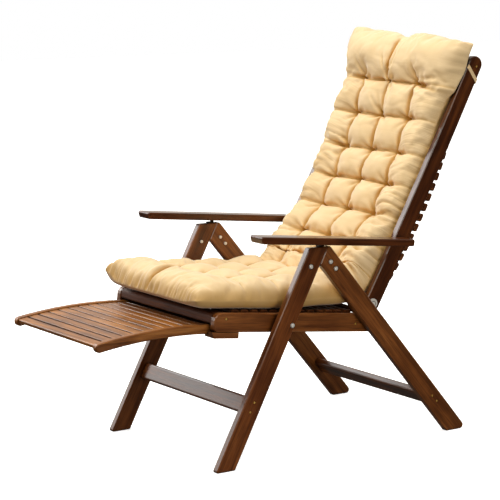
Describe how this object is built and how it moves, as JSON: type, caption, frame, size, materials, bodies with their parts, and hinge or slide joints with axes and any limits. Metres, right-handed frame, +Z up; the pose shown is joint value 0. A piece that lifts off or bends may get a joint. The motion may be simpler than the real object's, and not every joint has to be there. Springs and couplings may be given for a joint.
{
  "type": "folding chaise longue",
  "caption": "Folding wooden chaise longue: A-frame legs on hinge straps, slatted back that reclines on notched armrests, sliding arched footrest and a tufted cloth cushion.",
  "frame": {"origin": "on the floor, under the middle of the bounding box", "axes": "+Z up; the sitter faces -Y, so the footrest points along -Y; +X is the sitter's left"},
  "size_m": [0.6, 1.2228, 1.1031],
  "materials": {
    "frame_wood": "satin",
    "footrest_wood": "satin",
    "plated_steel": "satin",
    "cushion_cloth": "matte"
  },
  "bodies": {
    "back_frame": {"arm_pivot_bolt_left": "plated_steel", "arm_pivot_bolt_right": "plated_steel", "back_cushion": "cushion_cloth", "back_pivot_bolt_left": "plated_steel", "back_pivot_bolt_right": "plated_steel", "back_slats": "frame_wood", "back_stile_left": "frame_wood", "back_stile_right": "frame_wood", "back_top_bar": "frame_wood"},
    "front_legs": {"armrest_catch_left": "plated_steel", "armrest_catch_right": "plated_steel", "front_leg_left": "frame_wood", "front_leg_right": "frame_wood", "front_stretcher": "frame_wood", "leg_hinge_bolt_left": "plated_steel", "leg_hinge_bolt_right": "plated_steel"},
    "armrest_left_arm": {"armrest_left": "frame_wood", "armrest_rack_left": "plated_steel"},
    "armrest_right_arm": {"armrest_rack_right": "plated_steel", "armrest_right": "frame_wood"},
    "seat_frame": {"back_ear_left": "plated_steel", "back_ear_right": "plated_steel", "footrest_guide_left": "frame_wood", "footrest_guide_right": "frame_wood", "seat_cushion": "cushion_cloth", "seat_front_bar": "frame_wood", "seat_pivot_bolt_left": "plated_steel", "seat_pivot_bolt_right": "plated_steel", "seat_rail_left": "frame_wood", "seat_rail_right": "frame_wood", "seat_rear_bar": "frame_wood", "seat_slats": "frame_wood"},
    "footrest": {"footrest_end_bar": "footrest_wood", "footrest_nose": "footrest_wood", "footrest_rail_left": "footrest_wood", "footrest_rail_right": "footrest_wood", "footrest_slat_01": "footrest_wood", "footrest_slat_02": "footrest_wood", "footrest_slat_03": "footrest_wood", "footrest_slat_04": "footrest_wood", "footrest_slat_05": "footrest_wood", "footrest_slat_06": "footrest_wood", "footrest_slat_07": "footrest_wood", "footrest_slat_08": "footrest_wood", "footrest_slat_09": "footrest_wood", "footrest_slat_10": "footrest_wood", "footrest_slat_11": "footrest_wood", "footrest_slat_12": "footrest_wood"},
    "rear_legs": {"leg_hinge_strap_left": "plated_steel", "leg_hinge_strap_right": "plated_steel", "rail_peg_left": "frame_wood", "rail_peg_right": "frame_wood", "rear_leg_left": "frame_wood", "rear_leg_right": "frame_wood", "rear_stretcher": "frame_wood", "strap_bolt_lower_left": "plated_steel", "strap_bolt_lower_right": "plated_steel", "strap_bolt_upper_left": "plated_steel", "strap_bolt_upper_right": "plated_steel"}
  },
  "joints": [
    {"name": "leg_fold", "type": "hinge", "parent": "seat_frame", "child": "front_legs", "pos_m": [0, -0.0537, 0.3614], "axis": [-1, 0, 0], "range_deg": [0, 46]},
    {"name": "rear_leg_close", "type": "hinge", "parent": "front_legs", "child": "rear_legs", "pos_m": [0, 0.00539, 0.511], "axis": [-1, 0, 0], "range_deg": [0, 60]},
    {"name": "back_recline", "type": "hinge", "parent": "seat_frame", "child": "back_frame", "pos_m": [0, 0.23461, 0.3839], "axis": [-1, 0, 0], "range_deg": [0, 40]},
    {"name": "armrest_left_turn", "type": "hinge", "parent": "back_frame", "child": "armrest_left_arm", "pos_m": [0, 0.31579, 0.54966], "axis": [-1, 0, 0], "range_deg": [-27, 0]},
    {"name": "armrest_right_turn", "type": "hinge", "parent": "back_frame", "child": "armrest_right_arm", "pos_m": [0, 0.31579, 0.54966], "axis": [-1, 0, 0], "range_deg": [-27, 0]},
    {"name": "footrest_slide", "type": "hinge", "parent": "seat_frame", "child": "footrest", "pos_m": [0, -0.395, -0.97689], "axis": [-1, 0, 0], "range_deg": [0, 13.1]}
  ],
  "couplings": [
    {"joint": "rear_leg_close", "follows": "leg_fold", "ratio": 1.3},
    {"joint": "armrest_left_turn", "follows": "back_recline", "ratio": -0.65},
    {"joint": "armrest_right_turn", "follows": "back_recline", "ratio": -0.65}
  ]
}
